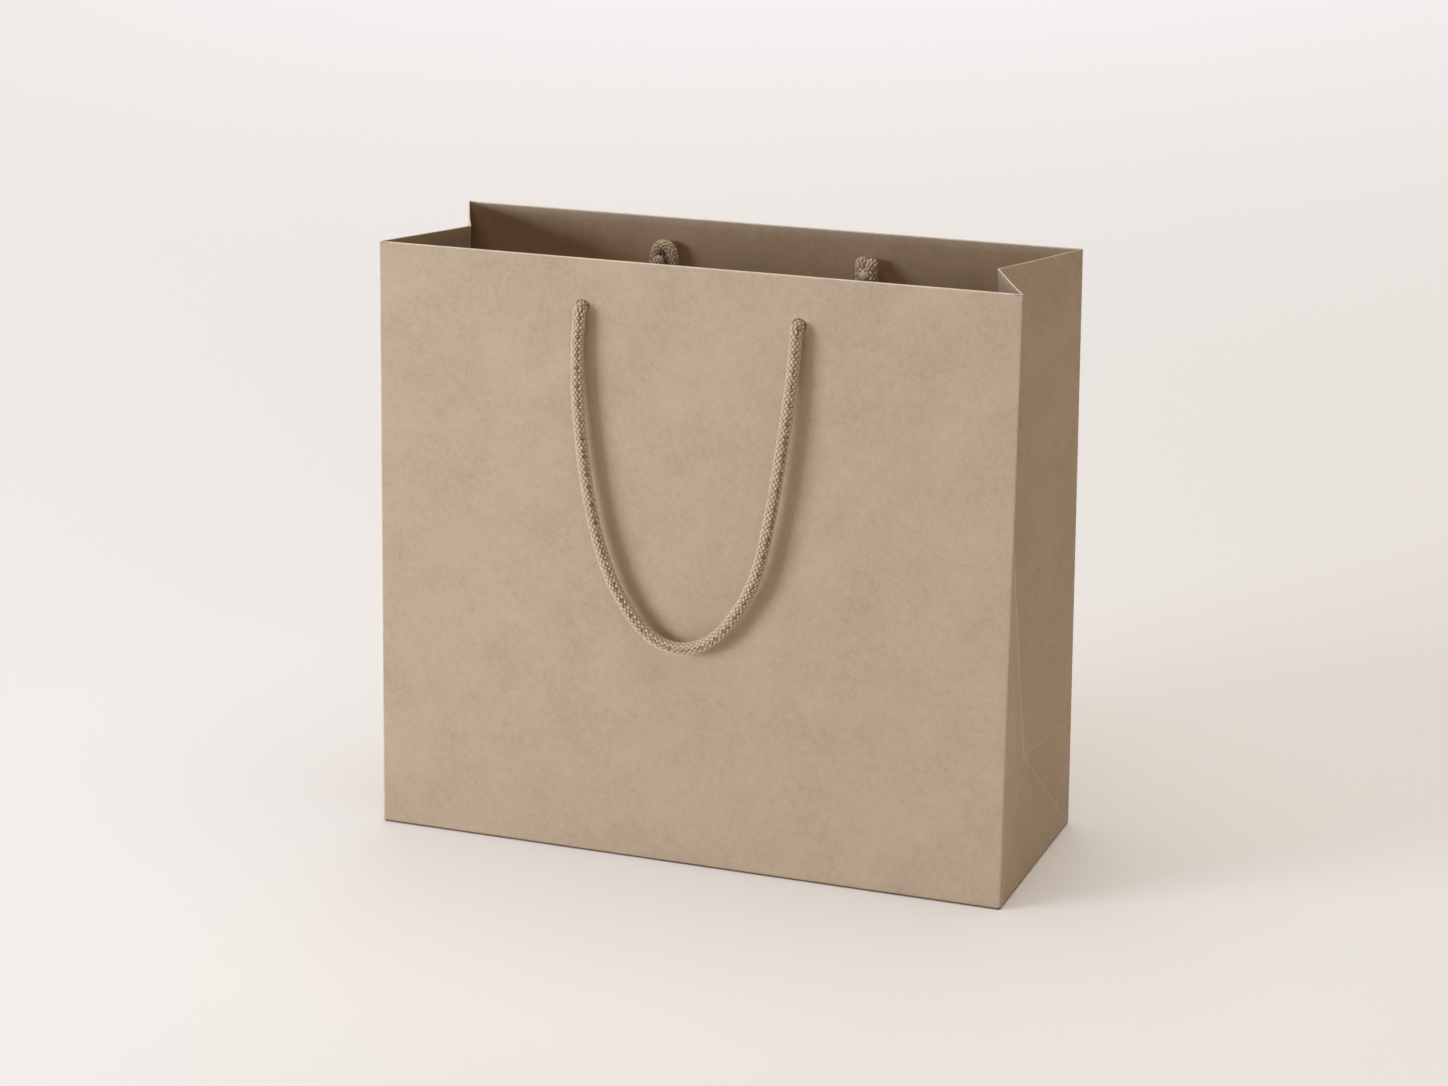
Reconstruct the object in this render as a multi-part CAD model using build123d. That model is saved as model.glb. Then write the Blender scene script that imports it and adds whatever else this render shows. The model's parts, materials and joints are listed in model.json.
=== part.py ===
from build123d import *
from math import cos, pi, radians, sin, sqrt, tan
import os

# A kraft paper gift bag with a handle cord on each side. Millimetres, +Z up.
# The origin is on the floor, under the middle of the base. The front wall faces -Y.
# One creased sheet makes the walls, the gussets and the base flaps. It is split at its
# creases, because a crease is the hinge that lets one panel move against the next.

# the sheet
bag_width = 320.0
bag_depth = 120.0
wall_length = 292.0  # bottom crease to rim, measured along the paper
paper = 0.35
hem_depth = 42.0  # the rim is turned in by this much
front_lean = 2.65  # degrees, top towards the inside
back_lean = 0.88

# the gussets, which fold inwards at their middle
vertex_height = 54.5  # where the middle crease meets the two corner creases
vertex_inset = 7.5
rim_inset = 26.5  # middle crease at the rim, in from the bag's side
rim_shift = 4.5  # middle crease at the rim, back from the bag's middle

# cards glued under the hem, and the board laid on the base
card = 0.8
card_height = 38.0
card_side_gap = 6.0
board = 1.0
board_gap = 1.5

# the base flaps and the glue seam
outer_flap_length = 80.0
inner_flap_length = 78.0
side_flap_length = 58.0
seam_width = 18.0

# the handle cords
cord_diameter = 6.4
hole_clearance = 0.3  # round the cord in its hole
hole_below_rim = 23.0
knot_width = 14.0
knot_length = 20.0  # up the wall
knot_height = 12.5  # from the hem's face to the knot's crown
knot_lift = 1.0  # the knot's middle, above its hole

# clearances
crease_gap = 0.3  # between panels that turn on a crease
seat_gap = 0.2  # between a knot and the hem it is pulled against
cord_gap = 0.5  # between a hanging cord and the wall behind it

# The line of a hanging cord, from its left hole to its right hole, which are punched at
# its two ends: how far from the wall's middle, how far below the holes, and how far off
# the wall beyond cord_gap.
cord_route = [
    (-54.0, 0.0, 0.0),
    (-54.2, 6.5, 0.1),
    (-54.9, 19.0, 0.5),
    (-54.4, 42.0, 1.4),
    (-50.6, 75.0, 2.2),
    (-44.2, 108.0, 2.4),
    (-32.4, 138.5, 1.8),
    (-12.0, 161.0, 1.0),
    (14.5, 158.0, 1.0),
    (35.5, 128.0, 1.8),
    (42.9, 97.5, 2.4),
    (48.0, 64.0, 2.2),
    (51.4, 37.0, 1.4),
    (53.2, 17.5, 0.5),
    (53.8, 6.0, 0.1),
    (54.0, 0.0, 0.0),
]

half_width = bag_width / 2
half_depth = bag_depth / 2
cord_radius = cord_diameter / 2
hole_height = wall_length - hole_below_rim
hole_places = (cord_route[0][0], cord_route[-1][0])
hem_face = 2 * paper + card  # the hem's inner face, in from the wall's outer face
cord_offset = cord_radius + cord_gap  # from the wall's outer face to the cord's middle


def slab(x, y, z):
    """A box between two values on each axis."""
    sizes = [high - low for low, high in (x, y, z)]
    middle = [(low + high) / 2 for low, high in (x, y, z)]
    return Pos(*middle) * Box(*sizes)


def front_place():
    """Where the front wall stands. A wall is drawn upright, its outer face on y = 0."""
    return Pos(0, -half_depth, crease_gap) * Rot(X=-front_lean)


def back_place():
    """Where the back wall stands: turned about, so its own left is the bag's right."""
    return Pos(0, half_depth, crease_gap) * Rot(Z=180) * Rot(X=-back_lean)


def cord_holes(through):
    """The two punched holes, as long as the stack of paper and card that they cross."""
    punch = Rot(X=90) * Cylinder(cord_radius + hole_clearance, 4 * through)
    return [Pos(x, 0, hole_height) * punch for x in hole_places]


def wall_panel():
    sheet = slab((-half_width, half_width), (0, paper), (0, wall_length))
    return sheet - cord_holes(hem_face)


def top_card():
    reach = half_width - card_side_gap
    top = wall_length - paper
    sheet = slab((-reach, reach), (paper, paper + card), (top - card_height, top))
    return sheet - cord_holes(hem_face)


def top_hem():
    """The turned-in rim: a strip over the card, and the fold that covers its top edge."""
    reach = half_width - card_side_gap
    strip = slab((-reach, reach), (paper + card, hem_face), (wall_length - hem_depth, wall_length))
    fold = slab((-reach, reach), (paper, paper + card), (wall_length - paper, wall_length))
    return strip + fold - cord_holes(hem_face)


def knot(x):
    """The knot inside the wall, and the end of the cord that runs out through the hole."""
    seat = hem_face + seat_gap
    crown = seat + knot_height
    radius = knot_width / 2
    middle = crown - radius
    waist = knot_length / 2 - radius
    body = Cylinder(radius, 2 * waist) + [Pos(0, 0, z) * Sphere(radius) for z in (-waist, waist)]
    body = Pos(x, middle, hole_height + knot_lift) * body
    body = body & slab((-half_width, half_width), (seat, crown + 1), (0, wall_length))
    end = Pos(x, middle / 2, hole_height) * Rot(X=90) * Cylinder(cord_radius, middle)
    return body + end


def route_points():
    """The cord's corner points in a wall's own frame."""
    return [Vector(x, -(cord_offset + off), hole_height - drop) for x, drop, off in cord_route]


def corner_radii(points):
    """The largest tangent arc at each corner that its two runs leave room for."""
    radii = []
    for before, corner, after in zip(points, points[1:], points[2:]):
        run = min((corner - before).length, (after - corner).length)
        turn = (corner - before).get_angle(after - corner)
        radii.append(0.45 * run / tan(radians(turn / 2)))
    return radii


def cord_loop():
    """The hanging loop. Its ends are rounded about the line that it swings on."""
    points = route_points()
    path = FilletPolyline(*points, radius=corner_radii(points))
    tube = sweep(Plane(path @ 0, z_dir=path % 0) * Circle(cord_radius), path=path)
    return tube + [Pos(*end) * Sphere(cord_radius) for end in (points[0], points[-1])]


def rim_corner(lean, way):
    """The outer top corner of a wall on the bag's right side. way is -1 in front, 1 behind."""
    reach = wall_length * sin(radians(lean))
    height = crease_gap + wall_length * cos(radians(lean))
    return Vector(half_width, way * (half_depth - reach), height)


def gusset_corners(lean, way):
    """Corners of half a gusset on the right side: bottom, vertex, rim middle, rim side."""
    clear = Vector(0, way * crease_gap, 0)
    off_wall = Vector(0, way * (paper + crease_gap), 0)
    bottom = Vector(half_width, way * half_depth, 3 * crease_gap) - off_wall
    vertex = Vector(half_width - vertex_inset, 0, vertex_height + 2 * crease_gap)
    rise = sqrt((wall_length - vertex_height) ** 2 - (rim_inset - vertex_inset) ** 2 - rim_shift**2)
    rim_middle = Vector(half_width - rim_inset, rim_shift, vertex_height + rise)
    return bottom, vertex + clear, rim_middle + clear, rim_corner(lean, way) - off_wall


def sheet_of(corners, thickness):
    """A flat piece with these outer corners, thickened towards the inside of the bag."""
    return extrude(make_face(Polyline(*corners, close=True)), amount=thickness, dir=(-1, 0, 0))


def gusset_half(lean, way):
    """Two flat facets from corner to corner, doubled where the hem is turned in."""
    bottom, vertex, rim_middle, rim_side = gusset_corners(lean, way)
    facets = [(bottom, vertex, rim_side), (vertex, rim_middle, rim_side)]
    single = sheet_of(facets[0], paper) + sheet_of(facets[1], paper)
    double = sheet_of(facets[0], 2 * paper) + sheet_of(facets[1], 2 * paper)
    hem_zone = slab(
        (half_width - rim_inset - 1, half_width),
        (-half_depth, half_depth),
        (wall_length - hem_depth, wall_length + 1),
    )
    return single + (double & hem_zone)


def gusset_foot():
    """The triangle between the corner creases, which turns on the base's side edge."""
    side = half_depth - paper - 3 * crease_gap
    bottom = 3 * crease_gap
    corners = [
        Vector(half_width, -side, bottom),
        Vector(half_width, side, bottom),
        Vector(half_width - vertex_inset, 0, vertex_height),
    ]
    return sheet_of(corners, paper)


def long_flap(length, level, way):
    """A flap from a long edge of the base, mitred where it meets the side flaps."""
    near = half_depth - paper - crease_gap
    outline = [
        (-half_width + paper + crease_gap, way * near),
        (half_width - paper - crease_gap, way * near),
        (half_width - half_depth, 0),
        (half_width - half_depth, way * (half_depth - length)),
        (half_depth - half_width, way * (half_depth - length)),
        (half_depth - half_width, 0),
    ]
    flap = extrude(make_face(Polyline(*outline, close=True)), amount=paper, dir=(0, 0, 1))
    return Pos(0, 0, level * paper) * flap


def side_flap(way):
    """A flap from a short edge of the base, under the board."""
    reach = half_width - paper - crease_gap
    across = half_depth - paper - crease_gap
    ends = sorted((way * reach, way * (half_width - side_flap_length)))
    return slab(ends, (-across, across), (2 * paper, 3 * paper))


def base_board():
    across = half_width - board_gap
    along = half_depth - board_gap
    return slab((-across, across), (-along, along), (3 * paper, 3 * paper + board))


def glue_seam():
    """The sheet's lap, glued inside the back wall along the bag's left edge."""
    edge = half_width - crease_gap - paper
    heights = (3 * paper + board + crease_gap, wall_length - hem_depth - crease_gap)
    return slab((edge - seam_width, edge), (paper, 2 * paper), heights)


def wall_pieces(name, place):
    """What turns with one wall: its panel, card, hem and knots."""
    pieces = {
        f"{name}_panel": place * wall_panel(),
        f"{name}_top_card": place * top_card(),
        f"{name}_top_hem": place * top_hem(),
    }
    for x in hole_places:
        piece = place * knot(x)
        side = "left" if piece.center().X < 0 else "right"
        pieces[f"{name}_knot_{side}"] = piece
    return pieces


def gusset_pieces():
    """The right gusset's pieces and their mirror images on the left."""
    right = {
        "gusset_front_right": gusset_half(front_lean, -1),
        "gusset_back_right": gusset_half(back_lean, 1),
        "gusset_foot_right": gusset_foot(),
    }
    left = {}
    for name, piece in right.items():
        left[name.replace("right", "left")] = mirror(piece, about=Plane.YZ)
    return right | left


pieces = wall_pieces("front", front_place()) | wall_pieces("back", back_place())
pieces["back_glue_seam"] = back_place() * glue_seam()
pieces |= gusset_pieces()
pieces["base_outer_flap"] = long_flap(outer_flap_length, 0, -1)
pieces["base_inner_flap"] = long_flap(inner_flap_length, 1, 1)
pieces["base_side_flap_left"] = side_flap(-1)
pieces["base_side_flap_right"] = side_flap(1)
pieces["base_board"] = base_board()
pieces["front_cord"] = front_place() * cord_loop()
pieces["back_cord"] = back_place() * cord_loop()

points = route_points()
radii = corner_radii(points)
print("cord bend radii:", [round(radius, 1) for radius in radii])
for name in ("front_cord", "back_cord"):
    length = pieces[name].volume / (pi * cord_radius**2)
    print(name, "volume over section:", round(length, 1), "mm")

os.makedirs("parts", exist_ok=True)
for name, piece in pieces.items():
    export_step(piece, f"parts/{name}.step")
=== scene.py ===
import json
import math

import bmesh
import bpy
import numpy as np
from mathutils import Matrix, Vector, noise


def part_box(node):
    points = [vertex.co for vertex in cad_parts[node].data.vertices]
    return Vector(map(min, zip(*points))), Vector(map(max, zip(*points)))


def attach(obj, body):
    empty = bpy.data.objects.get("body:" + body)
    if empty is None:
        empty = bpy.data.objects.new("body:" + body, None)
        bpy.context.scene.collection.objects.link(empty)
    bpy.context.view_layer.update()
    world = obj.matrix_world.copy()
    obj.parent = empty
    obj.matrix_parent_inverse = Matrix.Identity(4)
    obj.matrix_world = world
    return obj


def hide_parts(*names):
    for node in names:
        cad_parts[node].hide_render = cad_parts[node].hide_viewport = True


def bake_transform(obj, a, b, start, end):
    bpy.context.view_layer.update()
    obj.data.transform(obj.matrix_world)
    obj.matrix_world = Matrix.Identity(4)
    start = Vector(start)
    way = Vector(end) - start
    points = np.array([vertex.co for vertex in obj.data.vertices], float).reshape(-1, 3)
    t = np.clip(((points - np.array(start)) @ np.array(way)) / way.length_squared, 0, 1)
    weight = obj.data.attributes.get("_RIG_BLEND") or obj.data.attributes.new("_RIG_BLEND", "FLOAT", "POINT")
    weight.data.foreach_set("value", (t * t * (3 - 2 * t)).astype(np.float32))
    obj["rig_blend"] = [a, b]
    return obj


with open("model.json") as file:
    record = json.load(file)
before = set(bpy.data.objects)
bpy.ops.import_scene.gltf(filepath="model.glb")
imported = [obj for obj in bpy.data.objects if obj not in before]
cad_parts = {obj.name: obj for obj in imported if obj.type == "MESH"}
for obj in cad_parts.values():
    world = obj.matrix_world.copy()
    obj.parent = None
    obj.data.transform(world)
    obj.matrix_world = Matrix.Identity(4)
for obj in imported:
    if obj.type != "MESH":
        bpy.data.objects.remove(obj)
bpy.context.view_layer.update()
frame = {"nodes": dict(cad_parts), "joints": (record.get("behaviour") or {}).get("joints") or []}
joints = {joint["name"]: joint for joint in frame["joints"]}

# A kraft paper gift bag with a braided cotton cord on each wide wall.
# Metres. +X runs along the wide walls, +Y from the front wall to the back wall, +Z up.

# the paper sheet
half_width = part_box("front_panel")[1].x
half_depth = -joints["front_wall_lean"]["pos_m"][1]
base_level = joints["front_wall_lean"]["pos_m"][2]
wall_length = 0.292
front_lean = math.radians(2.65)
back_lean = math.radians(0.88)
paper = 0.00035
card = 0.0008
card_reach = 0.154  # from the wall's middle to the card's end
fold_round = 0.0013  # how far from a corner its rounding starts
base_round = 0.0009  # the same, at the bottom
hem_depth = 0.042
thin_rim = 0.0004  # half the rim's thickness where two plies lie together
thick_rim = paper + card / 2  # and where they hold the card between them
back_crease_height = 0.052  # the back wall's level crease, from being stored flat

# the base flaps, each as far as it reaches under the bag
outer_flap_length = 0.08
inner_flap_length = 0.078
side_flap_length = 0.058
side_flap_gap = 0.0007  # from a side flap's end to the wide wall beside it

# the gussets
vertex_height = 0.0545
vertex_inset = 0.0075
rim_inset = {-1: 0.0243, 1: 0.0265}  # the left gusset is not pushed in as far
rim_shift = 0.0045  # the middle crease at the rim, back from the bag's middle

# how pale each fold is, from the fibres that opened there, and on the corners and middle creases also as
# painted highlight
corner_wear_and_highlight = 0.3
middle_wear_and_highlight = 0.45
gusset_level_wear = 0.14
back_level_wear = 0.2
hole_wear = 0.12

# painted shade: how much of the inner face's darkening is put on the turned-in hem, and on the bottom folds
# at the floor
hem_painted_shade = 0.65
bottom_fold_painted_shade = 0.9

# the cords
cord_diameter = 0.0064
cord_radius = cord_diameter / 2
cord_gap = 0.0005  # between a hanging cord and its wall
cord_offset = cord_radius + cord_gap  # from the wall's outer face to the cord's middle
hole_radius = 0.0035
hole_height = 0.269
hole_reach = 0.054  # from the wall's middle to a hole
cell = 0.0045  # the grid of a wall's mesh, which puts a line through each hole


class Wall:
    """A wide wall. In its own frame x runs along it, y into the bag and z up it."""

    def __init__(self, name, way, lean):
        self.name = name
        self.body = f"{name}_wall"
        self.way = way
        facing = Matrix.Rotation(0 if way < 0 else math.pi, 4, "Z")
        stand = Matrix.Translation((0, way * half_depth, base_level))
        self.place = stand @ facing @ Matrix.Rotation(-lean, 4, "X")

    def corner(self, side, height):
        """A point of the crease at the bag's left (-1) or right (1) side."""
        return self.place @ Vector((-self.way * side * half_width, 0, height))

    def turned(self, direction):
        """A direction of the wall's own frame, as it is in the bag's."""
        return self.place.to_3x3() @ Vector(direction)


front = Wall("front", -1, front_lean)
back = Wall("back", 1, back_lean)


# ---------------------------------------------------------------- sheets

sharp_edge = math.radians(40)  # a sheet's cut edges turn by more than this, its folds by less


def new_sheet():
    """An empty mesh whose vertices say how pale a fold is there, from opened fibres and painted highlight,
    and how much painted shade they get for the face they are on.
    """
    bm = bmesh.new()
    bm.verts.layers.float.new("fold")
    bm.verts.layers.float.new("inside")
    bm.verts.layers.float_vector.new("mitre")
    return bm


def join_rows(bm, rows):
    """Faces between rows of vertices. They look along (row direction) x (way up)."""
    for low, high in zip(rows, rows[1:]):
        for i in range(len(low) - 1):
            bm.faces.new((low[i], low[i + 1], high[i + 1], high[i]))


def flat_grid(columns, rows):
    """A flat sheet in x and z that looks along -y, with a line at each of these places."""
    bm = new_sheet()
    join_rows(bm, [[bm.verts.new((x, 0, z)) for x in columns] for z in rows])
    return bm


def punch(bm, x, z):
    """Opens a round hole in a flat grid. A square of cells gives way to rings of faces."""
    reach = 3 * cell

    def off(point):
        return max(abs(point.x - x), abs(point.z - z))

    def bearing(v):
        return math.atan2(v.co.z - z, v.co.x - x)

    patch = [face for face in bm.faces if off(face.calc_center_median()) < reach]
    edge = {v for face in patch for v in face.verts if off(v.co) > reach - cell / 2}
    outer = sorted(edge, key=bearing)
    bmesh.ops.delete(bm, geom=patch, context="FACES")
    for nearer in (0.21, 0.39, 0.522, 1.0):
        ring = []
        for v in outer:
            angle = bearing(v)
            lip = Vector((x + hole_radius * math.cos(angle), 0, z + hole_radius * math.sin(angle)))
            ring.append(bm.verts.new(v.co.lerp(lip, nearer)))
        for i in range(len(outer)):
            j = (i + 1) % len(outer)
            bm.faces.new((ring[i], outer[i], outer[j], ring[j]))
        outer = ring


def thicken(bm, thickness):
    """Gives a sheet its second face, on the side that its normals look away from."""
    fold = bm.verts.layers.float["fold"]
    inside = bm.verts.layers.float["inside"]
    mitre = bm.verts.layers.float_vector["mitre"]
    bm.normal_update()
    border = [edge for edge in bm.edges if edge.is_boundary]
    border = [(edge.link_loops[0].vert, edge.link_loops[0].link_loop_next.vert) for edge in border]
    faces = list(bm.faces)
    second = {}
    for v in list(bm.verts):
        inward = v[mitre] if v[mitre].length > 0.5 else -v.normal
        made = bm.verts.new(v.co + inward * thickness)
        made[fold] = v[fold]
        # the second face gets the full painted shade of the inner face
        made[inside] = 1.0
        second[v] = made
    for face in faces:
        bm.faces.new([second[v] for v in reversed(face.verts)])
    for a, b in border:
        bm.faces.new((b, a, second[a], second[b]))


def make_piece(name, mesh, material):
    """A piece from a finished mesh, with its material."""
    mesh.materials.append(material)
    piece = bpy.data.objects.new(name, mesh)
    bpy.context.scene.collection.objects.link(piece)
    return piece


def sheet_piece(name, bm, place, material):
    """A thickened sheet as a piece, smooth but for its cut edges."""
    mesh = bpy.data.meshes.new(name)
    bm.to_mesh(mesh)
    bm.free()
    mesh.transform(place)
    mesh.shade_smooth()
    mesh.set_sharp_from_angle(angle=sharp_edge)
    return make_piece(name, mesh, material)


def ease(value, low, high):
    """0 below low, 1 above high, and smooth between them."""
    t = min(1.0, max(0.0, (value - low) / (high - low)))
    return t * t * (3 - 2 * t)


def hump(distance, width):
    """1 at no distance, and soon 0 beyond a width."""
    return math.exp(-((distance / width) ** 2))


def lines(low, high, spacing, through=0.0, extra=()):
    """Places from low to high at a spacing, one of them at through, and some more."""
    first = math.ceil((low - through) / spacing + 0.2)
    last = math.floor((high - through) / spacing - 0.2)
    regular = [through + i * spacing for i in range(first, last + 1)]
    kept = [place for place in regular if all(abs(place - e) > spacing * 0.3 for e in extra)]
    return sorted([low, high, *kept, *extra])


# ---------------------------------------------------------------- walls


def wall_slack(x, z, seed):
    """How far a wall's paper stands into the bag: broad soft waves that die at its edges."""
    edge = ease(half_width - abs(x), 0.001, 0.05) * ease(z, 0.002, 0.06)
    edge *= ease(wall_length - z, 0.02, 0.09)
    broad = noise.noise(Vector((x / 0.11, z / 0.085, seed)))
    small = noise.noise(Vector((x / 0.035, z / 0.03, seed + 5)))
    return edge * (0.0006 * broad + 0.00008 * small + 0.0004)


def wall_sheet(wall, material, crease_height=None):
    """The outer ply of a wide wall, up to the rounding of the rim, with its two holes."""
    reach = half_width - fold_round
    beside_crease = ()
    if crease_height:
        beside_crease = [crease_height + step for step in (-0.0015, -0.0006, 0.0, 0.0006, 0.0015)]
    rows = lines(base_round, wall_length - thick_rim, cell, hole_height, beside_crease)
    bm = flat_grid(lines(-reach, reach, cell), rows)
    fold = bm.verts.layers.float["fold"]
    for x in (-hole_reach, hole_reach):
        punch(bm, x, hole_height)
    for v in bm.verts:
        x, z = v.co.x, v.co.z
        v.co.y = wall_slack(x, z, 3.0 + wall.way)
        from_lip = math.hypot(abs(x) - hole_reach, z - hole_height) - hole_radius
        v.co.y -= 0.0001 * hump(from_lip, 0.0012)
        v[fold] = hole_wear * hump(from_lip, 0.0005)
        if crease_height:
            on_crease = hump(z - crease_height, 0.0006)
            v.co.y += 0.00012 * on_crease
            v[fold] = max(v[fold], back_level_wear * on_crease)
    thicken(bm, paper)
    return sheet_piece(f"{wall.name}_sheet", bm, wall.place, material)


def rim_half(x):
    """Half the rim's thickness. It is thinner past the ends of the card."""
    return thin_rim + (thick_rim - thin_rim) * ease(half_width - 0.0022 - abs(x), 0.0, 0.003)


def wall_rim(wall, material):
    """The fold over the top of a wall, and the strip that is turned in behind the card.

    It is laid out flat first: above z = 0 is how far down the strip, below it the fold's turn.
    """
    reach = half_width - fold_round
    turn_end = -1e-6
    turns = [-math.pi * i / 8 for i in range(8, 0, -1)]
    hole_depth = wall_length - hole_height - thick_rim
    down_strip = lines(0.0, hem_depth - thick_rim, cell, hole_depth)
    columns = lines(-reach, reach, cell, 0.0, (-card_reach, card_reach))
    bm = flat_grid(columns, [*turns, turn_end, *down_strip[1:]])
    for x in (-hole_reach, hole_reach):
        punch(bm, x, hole_depth)
    fold = bm.verts.layers.float["fold"]
    inside = bm.verts.layers.float["inside"]
    for v in bm.verts:
        x, down = v.co.x, v.co.z
        half = rim_half(x)
        if down < 0:
            angle = math.pi + down
            height = wall_length - half + half * math.sin(angle)
            v.co = Vector((x, half - half * math.cos(angle), height))
            # the rim's rounding is paler, from opened fibres and as painted highlight
            v[fold] = math.sin(angle)
        else:
            v.co = Vector((x, 2 * half, wall_length - half - down))
            # the turned-in strip gets painted shade, a little less than the inner face
            v[inside] = hem_painted_shade
    thicken(bm, paper)
    return sheet_piece(f"{wall.name}_rim", bm, wall.place, material)


# ---------------------------------------------------------------- gussets


def gusset_points(side):
    """The vertex where a gusset's creases meet, the rim's middle and the base edge's middle."""
    vertex = Vector((side * (half_width - vertex_inset), 0, vertex_height))
    inset = rim_inset[side]
    rise = (wall_length - vertex_height) ** 2 - (inset - vertex_inset) ** 2 - rim_shift**2
    rim_middle = Vector((side * (half_width - inset), rim_shift, vertex_height + math.sqrt(rise)))
    return vertex, rim_middle, Vector((side * half_width, 0, base_level))


def gusset_line(wall, side, share):
    """Corner, crease and middle of half a gusset. share is 1 at the vertex and 2 at the rim."""
    vertex, rim_middle, foot = gusset_points(side)
    if share <= 1:
        crease = wall.corner(side, 0).lerp(vertex, share)
        return wall.corner(side, vertex_height * share), crease, foot.lerp(vertex, share)
    height = vertex_height + (wall_length - vertex_height) * (share - 1)
    crease = vertex.lerp(rim_middle, share - 1)
    return wall.corner(side, height), crease, crease


def ridge_inward(side, share):
    """Into the bag from the middle crease, so that both halves of a gusset meet there."""
    vertex, rim_middle, _ = gusset_points(side)
    up = (rim_middle - vertex).normalized()
    normals = []
    for wall in (front, back):
        corner, crease, _ = gusset_line(wall, side, share)
        normal = (crease - corner).cross(up).normalized()
        normals.append(normal if normal.x * side < 0 else -normal)
    mean = (normals[0] + normals[1]) / 2
    return mean / mean.length_squared


# where a gusset's mesh has its lines, as shares of the corner's rounding, of the facet from the
# corner to the crease, and of the foot from the crease to the middle. They crowd at the creases.
corner_columns = [i / 6 for i in range(7)]
facet_columns = [
    *(0.01, 0.03, 0.07, 0.14, 0.23, 0.33, 0.43, 0.53),
    *(0.63, 0.73, 0.82, 0.9, 0.95, 0.98, 0.993, 1),
]
foot_columns = [0.007, 0.02, 0.06, 0.14, 0.26, 0.4, 0.55, 0.7, 0.85, 1]


def walk(stops, distance):
    """The point at a distance along a line through these stops."""
    for a, b in zip(stops, stops[1:]):
        run = (b - a).length
        if distance <= run:
            return a.lerp(b, distance / run)
        distance -= run
    return stops[-1].copy()


def gusset_row(wall, side, share):
    """A row of points from the wall's face to the middle, with how pale each one is, from opened fibres and
    painted highlight, and its slack.
    """
    stops = gusset_line(wall, side, share)
    corner, crease, middle = stops
    facet_width = (crease - corner).length
    facet_end = max(facet_width, fold_round)
    foot_width = facet_width + (middle - crease).length - facet_end
    start = corner + wall.turned((wall.way * side, 0, 0)) * fold_round
    landing = walk(stops, fold_round)
    row = []
    for t in corner_columns:
        point = start.lerp(corner, t).lerp(corner.lerp(landing, t), t)
        row.append((point, corner_wear_and_highlight * math.sin(math.pi * t) ** 2, 0.0))
    for t in facet_columns:
        point = walk(stops, fold_round + t * (facet_end - fold_round))
        slack = math.sin(math.pi * t) * min(1.0, facet_width / 0.05)
        row.append((point, middle_wear_and_highlight * ease(t, 0.975, 1.0), slack))
    for t in foot_columns:
        point = walk(stops, facet_end + t * foot_width)
        past_crease = ease(t, 0.0, 0.025) if foot_width > 0.001 else 0.0
        slack = 0.3 * math.sin(math.pi * t) * ease(foot_width, 0.0, 0.04)
        row.append((point, middle_wear_and_highlight * (1 - past_crease), slack))
    return row


def gusset_half(wall, side, material):
    """Half a gusset from the wall's corner to the middle, with its foot and turned-in hem."""
    bm = new_sheet()
    fold = bm.verts.layers.float["fold"]
    mitre = bm.verts.layers.float_vector["mitre"]
    top = 1 + (wall_length - vertex_height - thin_rim) / (wall_length - vertex_height)
    lower = [base_round / vertex_height, *(i / 18 for i in range(1, 18)), 0.975, 0.992]
    upper = [1.0, 1.002, 1.006, *(1 + i / 56 for i in range(1, 56)), top]
    outward = Vector((side, 0, 0))
    seed = 7 + side + wall.way
    rows = []
    for share in lower + upper:
        row = []
        for i, (point, fold_wear_and_highlight, slack) in enumerate(gusset_row(wall, side, share)):
            v = bm.verts.new(point)
            swell = 0.0005 * noise.noise(Vector((point.y / 0.05, point.z / 0.08, seed)))
            v.co += outward * slack * (swell + 0.0004 * wall.way)
            v[fold] = fold_wear_and_highlight
            if wall is back and i > 3:
                v[fold] = max(fold_wear_and_highlight, gusset_level_wear * hump(share - 1, 0.006))
            row.append(v)
        if share >= 1:
            row[-1][mitre] = ridge_inward(side, share)
        rows.append(row)
    fold_over(bm, rows, side, wall)
    join_rows(bm, rows)
    bmesh.ops.remove_doubles(bm, verts=bm.verts, dist=0.00002)
    if wall.way * side > 0:
        bmesh.ops.reverse_faces(bm, faces=bm.faces)
    thicken(bm, paper)
    name = f"gusset_{'right' if side > 0 else 'left'}_{wall.name}"
    return sheet_piece(name, bm, Matrix.Identity(4), material)


def rim_directions(last, before, side, wall):
    """For each point of a gusset's top row: the point, the way up and the way into the bag."""
    into_wall = wall.turned((0, 1, 0))
    crease = len(last) - len(foot_columns) - 1
    directions = []
    for i, v in enumerate(last):
        up = (v.co - before[i].co).normalized()
        if i == 0:
            inward = into_wall
        elif i < crease:
            inward = up.cross(last[i + 1].co - last[i - 1].co).normalized()
            if inward.dot(into_wall - Vector((side, 0, 0))) < 0:
                inward = -inward
        else:
            inward = ridge_inward(side, 2.0)
        directions.append((v.co.copy(), up, inward))
    return directions


def fold_over(bm, rows, side, wall):
    """Adds the rows that turn over the rim and run down inside the gusset."""
    fold = bm.verts.layers.float["fold"]
    mitre = bm.verts.layers.float_vector["mitre"]
    directions = rim_directions(rows[-1], rows[-2], side, wall)
    steps = [(math.pi * i / 6, 0.0) for i in range(1, 7)]
    steps += [(math.pi, hem_depth * i / 9) for i in range(1, 10)]
    for angle, down in steps:
        row = []
        for point, up, inward in directions:
            risen = up * (thin_rim * math.sin(angle) - down)
            v = bm.verts.new(point + risen + inward * thin_rim * (1 - math.cos(angle)))
            # the rim's rounding is paler, from opened fibres and as painted highlight
            v[fold] = math.sin(angle)
            row.append(v)
        _, up, inward = directions[-1]
        row[-1][mitre] = inward * math.cos(angle) - up * math.sin(angle)
        rows.append(row)


# ---------------------------------------------------------------- base


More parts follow.
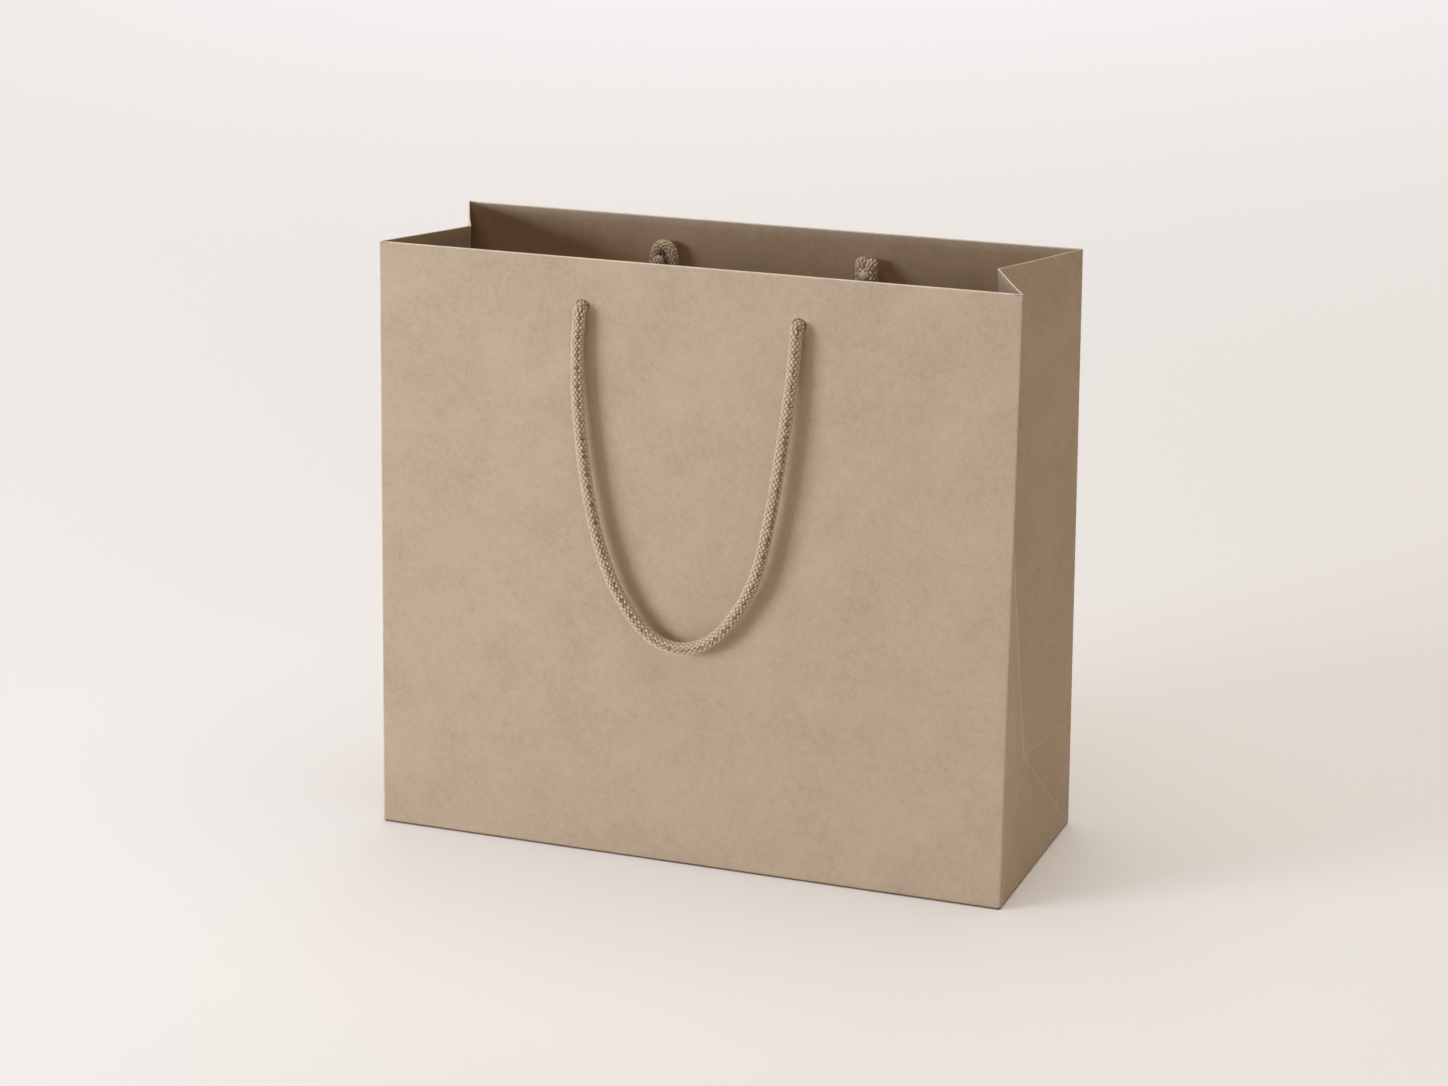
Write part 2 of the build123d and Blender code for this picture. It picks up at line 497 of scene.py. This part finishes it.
def base_flap(name, turn, edge, half_span, length, level, mitred, material):
    """A flap of the base with the crease that it hangs from. Its own y runs under the bag."""
    across = [i / 20 for i in range(-20, 21)]
    bm = new_sheet()
    inside = bm.verts.layers.float["inside"]
    rows = []
    for i in range(20, 0, -1):
        distance = length * i / 20
        span = half_span - (min(distance, half_depth) if mitred else 0.0)
        lift = 0.00005 * noise.noise(Vector((distance / 0.02, level * 999, turn)))
        rows.append([bm.verts.new((t * span, distance, level + lift)) for t in across])
    for i in range(6):
        angle = math.pi / 2 * i / 5
        y = base_round * (1 - math.sin(angle))
        z = level + (base_round - level + base_level) * (1 - math.cos(angle))
        row = [bm.verts.new((t * half_span, y, z)) for t in across]
        for v in row:
            # the rounding down to the floor gets painted shade, a dark line along the bag's bottom edge
            v[inside] = bottom_fold_painted_shade
        rows.append(row)
    join_rows(bm, rows)
    thicken(bm, paper)
    place = Matrix.Translation(edge) @ Matrix.Rotation(turn, 4, "Z")
    return sheet_piece(name, bm, place, material)


# ---------------------------------------------------------------- cords

# a hanging cord's line on its wall: how far from the wall's middle, how far below the holes,
# and how far off the wall beyond cord_offset
cord_route = [
    (-0.0540, 0.0000, 0.0000),
    (-0.0542, 0.0065, 0.0001),
    (-0.0549, 0.0190, 0.0005),
    (-0.0544, 0.0420, 0.0014),
    (-0.0506, 0.0750, 0.0022),
    (-0.0442, 0.1080, 0.0024),
    (-0.0324, 0.1385, 0.0018),
    (-0.0120, 0.1610, 0.0010),
    (0.0145, 0.1580, 0.0010),
    (0.0355, 0.1280, 0.0018),
    (0.0429, 0.0975, 0.0024),
    (0.0480, 0.0640, 0.0022),
    (0.0514, 0.0370, 0.0014),
    (0.0532, 0.0175, 0.0005),
    (0.0538, 0.0060, 0.0001),
    (0.0540, 0.0000, 0.0000),
]
hem_face = 2 * thick_rim
cord_stub = 0.002  # how far the loop runs past the hem's face, into its knots

# the braid
braid_lay = 0.0235  # one turn of a strand round the cord
strands_each_way = 8
strand_thickness = 0.00095
strand_fill = 0.92  # how much of its room round the cord a strand fills
strand_sides = 6
strand_step = 0.00059  # along the cord's line, from one point of a strand to the next
weave_height = 0.00036  # how far a strand rises and dips as it passes over and under
seam_depth = 0.0004
seam_width = 0.18  # in radians round the cord
fray_length = 0.003
core_share = 0.7  # the core's radius, as a share of the cord's
core_sides = 10


def smooth_line(points):
    """The points of a smooth line that these control points pull."""
    curve = bpy.data.curves.new("guide", "CURVE")
    curve.dimensions = "3D"
    spline = curve.splines.new("NURBS")
    spline.points.add(len(points) - 1)
    for control, point in zip(spline.points, points):
        control.co = (*point, 1)
    spline.order_u = 3
    spline.use_endpoint_u = True
    spline.resolution_u = 16
    guide = bpy.data.objects.new("guide", curve)
    line = bpy.data.meshes.new_from_object(guide)
    places = np.array([v.co for v in line.vertices])
    bpy.data.objects.remove(guide)
    bpy.data.curves.remove(curve)
    bpy.data.meshes.remove(line)
    return places


def evenly(places, step):
    """The same line with its points a step apart, and each one's distance along it."""
    runs = np.linalg.norm(np.diff(places, axis=0), axis=1)
    travelled = np.concatenate(([0], np.cumsum(runs)))
    count = max(2, round(travelled[-1] / step) + 1)
    wanted = np.linspace(0, travelled[-1], count)
    line = np.stack([np.interp(wanted, travelled, places[:, axis]) for axis in range(3)], axis=1)
    return line, wanted


def frames_along(line):
    """Tangent and two crosswise directions at each point, carried along without twist."""
    tangents = np.gradient(line, axis=0)
    tangents /= np.linalg.norm(tangents, axis=1)[:, None]
    first = np.cross(tangents[0], (0.3, 0.9, 0.2))
    first /= np.linalg.norm(first)
    across = [first]
    for tangent in tangents[1:]:
        carried = across[-1] - tangent * (across[-1] @ tangent)
        across.append(carried / np.linalg.norm(carried))
    across = np.array(across)
    return tangents, across, np.cross(tangents, across)


class CordMesh:
    """The mesh of a cord. Each point says where it is in its yarn, and how deep in the weave."""

    def __init__(self):
        self.points = []
        self.faces = []
        self.values = {"yarn_across": [], "yarn_along": [], "depth": []}

    def add_points(self, points, across, along, depth):
        """Adds points with their values. Gives the number of the first one."""
        first = sum(len(part) for part in self.points)
        self.points.append(points.reshape(-1, 3))
        for part, value in zip(self.values.values(), (across, along, depth)):
            part.append(np.broadcast_to(value, points.shape[:-1]).ravel())
        return first

    def add_tube(self, rings, across, along, depth):
        """Adds an open tube: its rings of points, and the faces between them."""
        count, sides = rings.shape[:2]
        first = self.add_points(rings, across, along[:, None], depth[:, None])
        start = np.arange(count - 1)[:, None] * sides
        side = np.arange(sides)[None, :]
        after = (side + 1) % sides
        corners = [start + side, start + after, start + sides + after, start + sides + side]
        self.faces += (np.stack(corners, axis=2).reshape(-1, 4) + first).tolist()
        return first

    def piece(self, name, material):
        """The cord as a piece, smooth all over."""
        mesh = bpy.data.meshes.new(name)
        mesh.from_pydata(np.concatenate(self.points).tolist(), [], self.faces)
        for label, parts in self.values.items():
            layer = mesh.attributes.new(label, "FLOAT", "POINT")
            layer.data.foreach_set("value", np.concatenate(parts).astype(np.float32))
        mesh.shade_smooth()
        return make_piece(name, mesh, material)


def add_core(cord, line, tangent, right, up, along, radius, opened):
    """The yarn inside a braid, painted dark as shade between the strands, with a low cone on each cut end.
    """
    core = radius * core_share
    angles = [2 * math.pi * i / core_sides for i in range(core_sides)]
    rings = [line + (right * math.cos(a) + up * math.sin(a)) * core * opened for a in angles]
    depth = np.full(len(line), -2.0)
    depth[[0, -1]] = 0.4
    first = cord.add_tube(np.stack(rings, axis=1), 0.0, along, depth)
    for end, towards in ((0, -1), (len(line) - 1, 1)):
        point = line[end] + tangent[end] * towards * radius * 0.3
        tip = cord.add_points(point[None], 0.0, 0.0, 0.0)
        base = first + end * core_sides
        for i in range(core_sides):
            pair = (base + i, base + (i + 1) % core_sides)
            cord.faces.append([*(pair if towards > 0 else pair[::-1]), tip])


def braided_cord(name, places, radius, facing, material, fray=0.0):
    """A round braid along a line: strands that turn both ways and pass over and under.

    A shallow seam runs along the side that looks in the facing direction. The last end
    spreads where fray is above 0, and closes up where it is below 0.
    """
    line, along = evenly(places, strand_step)
    tangent, right, up = frames_along(line)
    # the strands' mean radius, how steeply they wind, and how broad that lets them be
    mean = radius - strand_thickness / 2 - weave_height
    slope = math.atan(2 * math.pi * mean / braid_lay)
    half_strand = math.pi * mean / strands_each_way * math.cos(slope) * strand_fill
    round_strand = [2 * math.pi * i / strand_sides for i in range(strand_sides)]
    opened = 1 + fray * np.clip((along - along[-1]) / fray_length + 1, 0, 1)[:, None] ** 3
    turn = 2 * math.pi * along / braid_lay
    lift = weave_height * np.cos(strands_each_way * turn)
    # the seam wanders a little, and its depth is uneven
    seam = np.arctan2(up @ facing, right @ facing) + 0.2 * np.sin(along / 0.02)
    ragged = 1 + 0.5 * np.sin(along / 0.0013)
    cord = CordMesh()
    for way in (1, -1):
        for strand in range(strands_each_way):
            angle = way * turn + 2 * math.pi * strand / strands_each_way
            outward = right * np.cos(angle)[:, None] + up * np.sin(angle)[:, None]
            round_way = up * np.cos(angle)[:, None] - right * np.sin(angle)[:, None]
            off_seam = np.angle(np.exp(1j * (angle - seam)))
            dip = seam_depth * np.exp(-((off_seam / seam_width) ** 2)) * ragged
            centre = line + outward * (mean + way * lift - dip)[:, None] * opened
            broad = (round_way * math.cos(slope) - tangent * way * math.sin(slope)) * half_strand
            thick = outward * (strand_thickness / 2)
            rings = [centre + broad * math.cos(a) * opened + thick * math.sin(a) for a in round_strand]
            across = [math.cos(a) for a in round_strand]
            # how high a point lies in the weave: the material paints shade where it is low, and in the seam
            depth = way * lift / weave_height - dip / seam_depth
            first = cord.add_tube(np.stack(rings, axis=1), across, along + 0.011 * strand, depth)
            last = first + (len(line) - 1) * strand_sides
            cord.faces.append([first + i for i in reversed(range(strand_sides))])
            cord.faces.append([last + i for i in range(strand_sides)])
    add_core(cord, line, tangent, right, up, along, radius, opened)
    return cord.piece(name, material), line


# knots, from each hole on the hem's inner face: along the wall, up it, and into the bag
arched_knot = [
    (0.0, 0.0, -0.0015),
    (0.0, 0.0, 0.0032),
    (-0.0004, -0.0046, 0.0042),
    (-0.0026, -0.0034, 0.0044),
    (-0.0025, 0.0040, 0.0042),
    (-0.0004, 0.0090, 0.0044),
    (0.0050, 0.0090, 0.0046),
    (0.0073, 0.0040, 0.0050),
    (0.0073, -0.0034, 0.0052),
    (0.0050, -0.0068, 0.0060),
    (0.0010, -0.0074, 0.0078),
    (0.0010, -0.0024, 0.0092),
    (0.0013, 0.0042, 0.0094),
]
lobed_knot = [
    (0.0, 0.0, -0.0015),
    (0.0, 0.0, 0.0030),
    (-0.0022, 0.0026, 0.0032),
    (-0.0025, 0.0084, 0.0032),
    (-0.0024, 0.0086, 0.0068),
    (-0.0023, 0.0020, 0.0070),
    (-0.0012, -0.0054, 0.0062),
    (0.0022, -0.0050, 0.0036),
    (0.0026, 0.0020, 0.0032),
    (0.0026, 0.0080, 0.0034),
    (0.0025, 0.0082, 0.0068),
    (0.0027, 0.0026, 0.0072),
    (0.0022, -0.0012, 0.0078),
    (0.0010, 0.0016, 0.0094),
    (0.0012, 0.0036, 0.0134),
]
tied_radius = 0.003  # a cord pulled tight into a knot is thinner
knot_lift = 0.0008  # a knot's middle, above its hole
knot_gap = 0.0002  # between a knot and the hem it is pulled against


def knot_line(wall, x, shape, roll, flip):
    """A knot's control points in the bag's frame, rolled about its hole."""
    points = []
    for along, up, inward in shape:
        along *= flip
        turned_x = along * math.cos(roll) - up * math.sin(roll)
        turned_z = along * math.sin(roll) + up * math.cos(roll)
        height = hole_height + turned_z + knot_lift
        points.append(wall.place @ Vector((x + turned_x, hem_face + knot_gap + inward, height)))
    return points


# where a cord starts to swing with its handle, and where it has the handle's whole swing
bend_start = Vector((0, -0.0009, hole_height - 0.0022))
bend_end = Vector((0, -0.0044, hole_height - 0.0057))


def handle(wall, knots, material):
    """A handle cord from knot to knot, through its two holes, and the knots themselves."""
    for shape, fray, x, side, roll, flip in knots:
        places = smooth_line(knot_line(wall, x, shape, roll, flip))
        name = f"{wall.name}_tied_{side}"
        knot, _ = braided_cord(name, places, tied_radius, wall.turned((0, -1, 0)), material, fray)
        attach(knot, wall.body)
        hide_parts(f"{wall.name}_knot_{side}")
    hanging = [Vector((x, -(cord_offset + off), hole_height - drop)) for x, drop, off in cord_route]
    first = Vector((hanging[0].x, hem_face + cord_stub, hole_height))
    last = Vector((hanging[-1].x, hem_face + cord_stub, hole_height))
    places = smooth_line([wall.place @ point for point in (first, *hanging, last)])
    name = f"{wall.name}_handle_cord"
    loop, line = braided_cord(name, places, cord_radius, wall.turned((0.8, -1, 0)), material)
    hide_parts(f"{wall.name}_cord")
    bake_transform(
        loop,
        wall.body,
        f"{wall.name}_handle",
        start=wall.place @ bend_start,
        end=wall.place @ bend_end,
    )


# ---------------------------------------------------------------- materials


def new_material(name):
    """A material with its node tree and its Principled BSDF."""
    material = bpy.data.materials.new(name)
    material.use_nodes = True
    tree = material.node_tree
    return material, tree, tree.nodes["Principled BSDF"]


def feed(tree, socket, value):
    """Links a socket to a value from another node, or sets it."""
    if isinstance(value, bpy.types.NodeSocket):
        tree.links.new(value, socket)
    else:
        socket.default_value = value


def mix_colour(tree, factor, a, b, blend="MIX"):
    """Mixes two colours, each a socket or a value."""
    node = tree.nodes.new("ShaderNodeMix")
    node.data_type = "RGBA"
    node.blend_type = blend
    for number, value in ((0, factor), (6, a), (7, b)):
        feed(tree, node.inputs[number], value)
    return node.outputs[2]


def tinted(tree, colour, tint):
    """A colour with each of its parts held back by a tint."""
    return mix_colour(tree, 1.0, colour, tint, "MULTIPLY")


def do_math(tree, operation, a, b=None, clamp=False):
    """One arithmetic step on sockets or numbers."""
    node = tree.nodes.new("ShaderNodeMath")
    node.operation = operation
    node.use_clamp = clamp
    feed(tree, node.inputs[0], a)
    if b is not None:
        feed(tree, node.inputs[1], b)
    return node.outputs[0]


def weighed(tree, *parts):
    """The sum of some values, each times its weight."""
    total = None
    for value, weight in parts:
        share = do_math(tree, "MULTIPLY", value, weight)
        total = share if total is None else do_math(tree, "ADD", total, share)
    return total


def noise_value(tree, vector, scale, detail=4.0, roughness=0.55):
    """Cloudy noise, from 0 to 1."""
    node = tree.nodes.new("ShaderNodeTexNoise")
    node.inputs["Scale"].default_value = scale
    node.inputs["Detail"].default_value = detail
    node.inputs["Roughness"].default_value = roughness
    tree.links.new(vector, node.inputs["Vector"])
    return node.outputs["Fac"]


def spread(tree, value, low, high):
    """Stretches a value so that low becomes 0 and high becomes 1."""
    node = tree.nodes.new("ShaderNodeMapRange")
    node.inputs[1].default_value = low
    node.inputs[2].default_value = high
    tree.links.new(value, node.inputs[0])
    return node.outputs[0]


def carried(tree, name):
    """A value that the mesh carries at each of its points."""
    node = tree.nodes.new("ShaderNodeAttribute")
    node.attribute_name = name
    return node.outputs["Fac"]


def own_place(tree):
    """Where a point is, in its piece's own frame."""
    return tree.nodes.new("ShaderNodeTexCoord").outputs["Object"]


def raise_surface(tree, shader, height, strength, distance):
    """Fine relief from a height."""
    node = tree.nodes.new("ShaderNodeBump")
    node.inputs["Strength"].default_value = strength
    node.inputs["Distance"].default_value = distance
    tree.links.new(height, node.inputs["Height"])
    tree.links.new(node.outputs[0], shader.inputs["Normal"])


def pulp_group():
    """Paper pulp: cloudy density, long fibres and small flecks."""
    group = bpy.data.node_groups.new("paper pulp", "ShaderNodeTree")
    for label in ("Fibre fineness", "Cloud fineness"):
        socket = group.interface.new_socket(label, in_out="INPUT", socket_type="NodeSocketFloat")
        socket.default_value = 1.0
    for label in ("Clouds", "Fibres", "Flecks", "Height"):
        group.interface.new_socket(label, in_out="OUTPUT", socket_type="NodeSocketFloat")
    given = group.nodes.new("NodeGroupInput")
    result = group.nodes.new("NodeGroupOutput")
    place = own_place(group)

    def scaled(fineness, stretch=(1, 1, 1)):
        by = group.nodes.new("ShaderNodeVectorMath")
        by.operation = "SCALE"
        group.links.new(place, by.inputs[0])
        group.links.new(fineness, by.inputs["Scale"])
        mapping = group.nodes.new("ShaderNodeMapping")
        mapping.inputs["Scale"].default_value = stretch
        mapping.inputs["Rotation"].default_value = (0.3, 0.5, 0.2)
        group.links.new(by.outputs[0], mapping.inputs["Vector"])
        return mapping.outputs[0]

    fibre_fineness, cloud_fineness = given.outputs[0], given.outputs[1]
    broad = noise_value(group, scaled(cloud_fineness), 38.0, 5.0, 0.6)
    blotch = noise_value(group, scaled(cloud_fineness), 260.0, 4.0, 0.6)
    grain = noise_value(group, scaled(fibre_fineness), 800.0, 3.0, 0.6)
    clouds = weighed(group, (broad, 0.4), (blotch, 0.3), (grain, 0.3))
    upright = noise_value(group, scaled(fibre_fineness, (1.0, 1.0, 0.28)), 1500.0, 3.0, 0.65)
    level = noise_value(group, scaled(fibre_fineness, (0.3, 0.3, 1.0)), 1300.0, 3.0, 0.65)
    fibres = do_math(group, "MAXIMUM", upright, level)
    flecks = noise_value(group, scaled(fibre_fineness), 620.0, 2.0, 0.5)
    made = {
        "Clouds": spread(group, clouds, 0.32, 0.68),
        "Fibres": spread(group, fibres, 0.42, 0.75),
        "Flecks": spread(group, flecks, 0.68, 0.8),
        "Height": weighed(group, (fibres, 0.6), (blotch, 0.8)),
    }
    for label, value in made.items():
        group.links.new(value, result.inputs[label])
    return group


def pulp_in(tree, pulp, fibre_fineness, cloud_fineness):
    """The paper pulp, placed in a material."""
    node = tree.nodes.new("ShaderNodeGroup")
    node.node_tree = pulp
    node.inputs["Fibre fineness"].default_value = fibre_fineness
    node.inputs["Cloud fineness"].default_value = cloud_fineness
    return node.outputs


def times(colour, factor):
    """A colour made darker or paler."""
    return tuple(min(1.0, part * factor) for part in colour[:3]) + (1,)


def kraft_material(pulp):
    """Uncoated kraft paper. It is paler at its folds, from opened fibres and painted highlight, darker on
    its inner face from painted shade, and has a painted shadow where it meets the floor.
    """
    kraft_brown = (0.49, 0.365, 0.247, 1)
    painted_inner_shade = (0.88, 0.72, 0.58, 1)
    pale_wear_and_highlight = (0.92, 0.83, 0.7, 1)
    floor_contact_shade = (0.3, 0.22, 0.15, 1)
    material, tree, shader = new_material("kraft paper")
    made = pulp_in(tree, pulp, 1.0, 1.0)
    base = mix_colour(tree, made["Clouds"], times(kraft_brown, 0.83), times(kraft_brown, 1.17))
    pale_fibres = do_math(tree, "MULTIPLY", made["Fibres"], 0.3)
    base = mix_colour(tree, pale_fibres, base, times(kraft_brown, 1.32))
    dark_flecks = do_math(tree, "MULTIPLY", made["Flecks"], 0.22)
    base = mix_colour(tree, dark_flecks, base, times(kraft_brown, 0.6))
    # painted shade on the inner face, the hem and the bottom folds
    base = mix_colour(tree, carried(tree, "inside"), base, tinted(tree, base, painted_inner_shade))
    # paler folds: opened fibres, and painted highlight on the rims and creases
    uneven = spread(tree, made["Clouds"], -0.6, 0.9)
    wear_and_highlight_mask = do_math(tree, "MULTIPLY", carried(tree, "fold"), uneven, clamp=True)
    base = mix_colour(tree, wear_and_highlight_mask, base, pale_wear_and_highlight)
    # painted shadow: the paper within about a millimetre of the floor is darkened
    place = tree.nodes.new("ShaderNodeSeparateXYZ")
    tree.links.new(own_place(tree), place.inputs[0])
    off_floor = spread(tree, place.outputs["Z"], 0.0005, 0.0012)
    base = mix_colour(tree, off_floor, tinted(tree, base, floor_contact_shade), base)
    tree.links.new(base, shader.inputs["Base Color"])
    rough = do_math(tree, "ADD", do_math(tree, "MULTIPLY", made["Clouds"], 0.08), 0.78)
    tree.links.new(rough, shader.inputs["Roughness"])
    shader.inputs["Specular IOR Level"].default_value = 0.25
    shader.inputs["Sheen Weight"].default_value = 0.08
    shader.inputs["Sheen Roughness"].default_value = 0.6
    raise_surface(tree, shader, made["Height"], 0.6, 0.0001)
    return material


def board_material(pulp):
    """Grey recycled board, with coarser fibres and finer clouds than the paper, and dark flecks."""
    material, tree, shader = new_material("grey board")
    made = pulp_in(tree, pulp, 0.6, 1.6)
    base = mix_colour(tree, made["Clouds"], (0.3, 0.275, 0.24, 1), (0.42, 0.385, 0.335, 1))
    base = mix_colour(tree, made["Flecks"], base, (0.16, 0.14, 0.12, 1))
    tree.links.new(base, shader.inputs["Base Color"])
    shader.inputs["Roughness"].default_value = 0.9
    shader.inputs["Specular IOR Level"].default_value = 0.2
    raise_surface(tree, shader, made["Height"], 0.4, 0.00015)
    return material


def cotton_material():
    """Soft cotton yarn: several twisted ends lie side by side in each strand, with painted shade in the
    grooves between them and where strands lie low.
    """
    darker_cotton = (0.72, 0.57, 0.4, 1)
    paler_cotton = (0.86, 0.7, 0.52, 1)
    groove_painted_shade = (0.8, 0.76, 0.7, 1)
    deep_painted_shade = (0.3, 0.22, 0.15, 1)
    material, tree, shader = new_material("braided cotton")
    across = carried(tree, "yarn_across")
    ends = do_math(tree, "SINE", do_math(tree, "MULTIPLY", across, 9.5))
    twist = weighed(tree, (carried(tree, "yarn_along"), 9000.0), (across, 6.0))
    plies = do_math(tree, "SINE", twist)
    place = own_place(tree)
    fuzz = noise_value(tree, place, 2600.0, 4.0, 0.7)
    relief = weighed(tree, (ends, 1.0), (plies, 0.35), (fuzz, 1.6))
    tone = noise_value(tree, place, 420.0, 3.0, 0.6)
    base = mix_colour(tree, spread(tree, tone, 0.3, 0.7), darker_cotton, paler_cotton)
    # painted shade in the grooves between the yarn ends
    on_ends = spread(tree, ends, -1.0, 0.2)
    base = mix_colour(tree, on_ends, tinted(tree, base, groove_painted_shade), base)
    # painted shade where a strand passes under, along the seam and on the core
    on_top = spread(tree, carried(tree, "depth"), -0.8, 0.6)
    base = mix_colour(tree, on_top, tinted(tree, base, deep_painted_shade), base)
    tree.links.new(base, shader.inputs["Base Color"])
    shader.inputs["Roughness"].default_value = 0.92
    shader.inputs["Specular IOR Level"].default_value = 0.15
    shader.inputs["Sheen Weight"].default_value = 0.25
    shader.inputs["Sheen Roughness"].default_value = 0.5
    raise_surface(tree, shader, relief, 0.7, 0.00012)
    return material


# ---------------------------------------------------------------- build

pulp = pulp_group()
kraft = kraft_material(pulp)
board = board_material(pulp)
cotton = cotton_material()

for wall in (front, back):
    sheet = wall_sheet(wall, kraft, back_crease_height if wall is back else None)
    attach(sheet, wall.body)
    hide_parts(f"{wall.name}_panel")
    rim = wall_rim(wall, kraft)
    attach(rim, wall.body)
    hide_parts(f"{wall.name}_top_hem")

for side, side_name in ((-1, "left"), (1, "right")):
    vertex, rim_middle, _ = gusset_points(side)
    for wall in (front, back):
        half = gusset_half(wall, side, kraft)
        bottom = wall.corner(side, 0)
        crease = wall.corner(side, wall_length) - bottom
        towards = crease.cross(rim_middle - vertex).normalized()
        width = (vertex - bottom).dot(towards)
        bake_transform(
            half,
            wall.body,
            f"{wall.name}_{side_name}_fold",
            start=bottom,
            end=bottom + towards * width,
        )
        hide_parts(f"gusset_{wall.name}_{side_name}")
        if wall is front:
            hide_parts(f"gusset_foot_{side_name}")

# each flap's half width at its crease, its length, how many plies lie below it, and if it is mitred
outer_shape = (half_width - fold_round, outer_flap_length, 0, True)
inner_shape = (half_width - fold_round, inner_flap_length, 1, True)
side_shape = (half_depth - side_flap_gap, side_flap_length, 2, False)
for name, node, turn, edge, (span, length, plies_below, mitred) in (
    ("outer", "outer_flap", 0.0, (0, -half_depth, 0), outer_shape),
    ("inner", "inner_flap", math.pi, (0, half_depth, 0), inner_shape),
    ("left", "side_flap_left", -math.pi / 2, (-half_width, 0, 0), side_shape),
    ("right", "side_flap_right", math.pi / 2, (half_width, 0, 0), side_shape),
):
    level = plies_below * paper
    flap = base_flap(f"{name}_flap", turn, edge, span, length, level, mitred, kraft)
    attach(flap, "base")
    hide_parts(f"base_{node}")

for node, material in (
    ("front_top_card", board),
    ("back_top_card", board),
    ("base_board", board),
    ("back_glue_seam", kraft),
):
    piece = frame["nodes"][node]
    piece.data.materials.clear()
    piece.data.materials.append(material)

# each knot's shape, how its end frays, the hole in its wall's own frame, its side of the bag,
# how far it is rolled, and 1 or -1 for the way that it is tied
front_knots = (
    (lobed_knot, 0.6, -hole_reach, "left", 0.35, 1),
    (arched_knot, -0.4, hole_reach, "right", -0.5, 1),
)
back_knots = (
    (arched_knot, -0.4, hole_reach, "left", 0.06, -1),
    (lobed_knot, 0.6, -hole_reach, "right", 0.0, -1),
)
handle(front, front_knots, cotton)
handle(back, back_knots, cotton)

# ---------------------------------------------------------------- studio

floor_material, _, floor_shader = new_material("pale floor")
floor_shader.inputs["Base Color"].default_value = (0.955, 0.965, 0.985, 1)
floor_shader.inputs["Roughness"].default_value = 0.9
below_bag = -0.00005
bpy.ops.mesh.primitive_plane_add(size=40, location=(0, 0, below_bag))
floor = bpy.context.active_object
floor.name = "floor"
floor.data.materials.append(floor_material)

# a backdrop with a strength of 0.88 where it is seen, and of 0.06 as a light
world = bpy.data.worlds.new("studio")
world.use_nodes = True
backdrop = world.node_tree.nodes["Background"]
backdrop.inputs["Color"].default_value = (1.0, 0.95, 0.9, 1)
seen = world.node_tree.nodes.new("ShaderNodeLightPath").outputs["Is Camera Ray"]
world.node_tree.links.new(spread(world.node_tree, seen, -0.07, 1.15), backdrop.inputs["Strength"])
bpy.context.scene.world = world
bpy.context.scene.view_settings.view_transform = "Standard"


def aim(name, light, place, towards):
    """A lamp at a place that shines towards another."""
    lamp = bpy.data.objects.new(name, light)
    lamp.location = place
    lamp.rotation_euler = (Vector(towards) - Vector(place)).to_track_quat("-Z", "Y").to_euler()
    bpy.context.scene.collection.objects.link(lamp)


def far_light(name, place, strength, spread_angle, colour):
    """An even light from far away. spread_angle is how wide it looks, in degrees."""
    light = bpy.data.lights.new(name, "SUN")
    light.energy = strength
    light.angle = math.radians(spread_angle)
    light.color = colour
    aim(name, light, place, (0, 0, 0))


def softbox(name, place, towards, size, power, colour):
    """A square lamp. Its size is its side."""
    light = bpy.data.lights.new(name, "AREA")
    light.size = size
    light.energy = power
    light.color = colour
    aim(name, light, place, towards)


far_light("overhead", (0.1, 0, 3), 2.12, 75, (1.0, 0.89, 0.765))
softbox("key", (-2.1, -1.75, 0.52), (0, 0, 0.15), 1.15, 67, (0.75, 0.845, 1.0))
softbox("backdrop light", (-1.1, 3.3, 2.0), (-0.9, 2.6, 0), 2.4, 22, (0.74, 0.81, 1.0))

# seen from the bag's right and a little above
camera = bpy.data.cameras.new("camera")
camera.lens = 87.4
camera.sensor_width = 36.0
camera.clip_start = 0.05
camera.clip_end = 60.0
view = bpy.data.objects.new("camera", camera)
view.location = (0.5804, -1.5283, 0.6465)
view.rotation_euler = (math.radians(72.95), 0.0, math.radians(20.83))
bpy.context.scene.collection.objects.link(view)
bpy.context.scene.camera = view
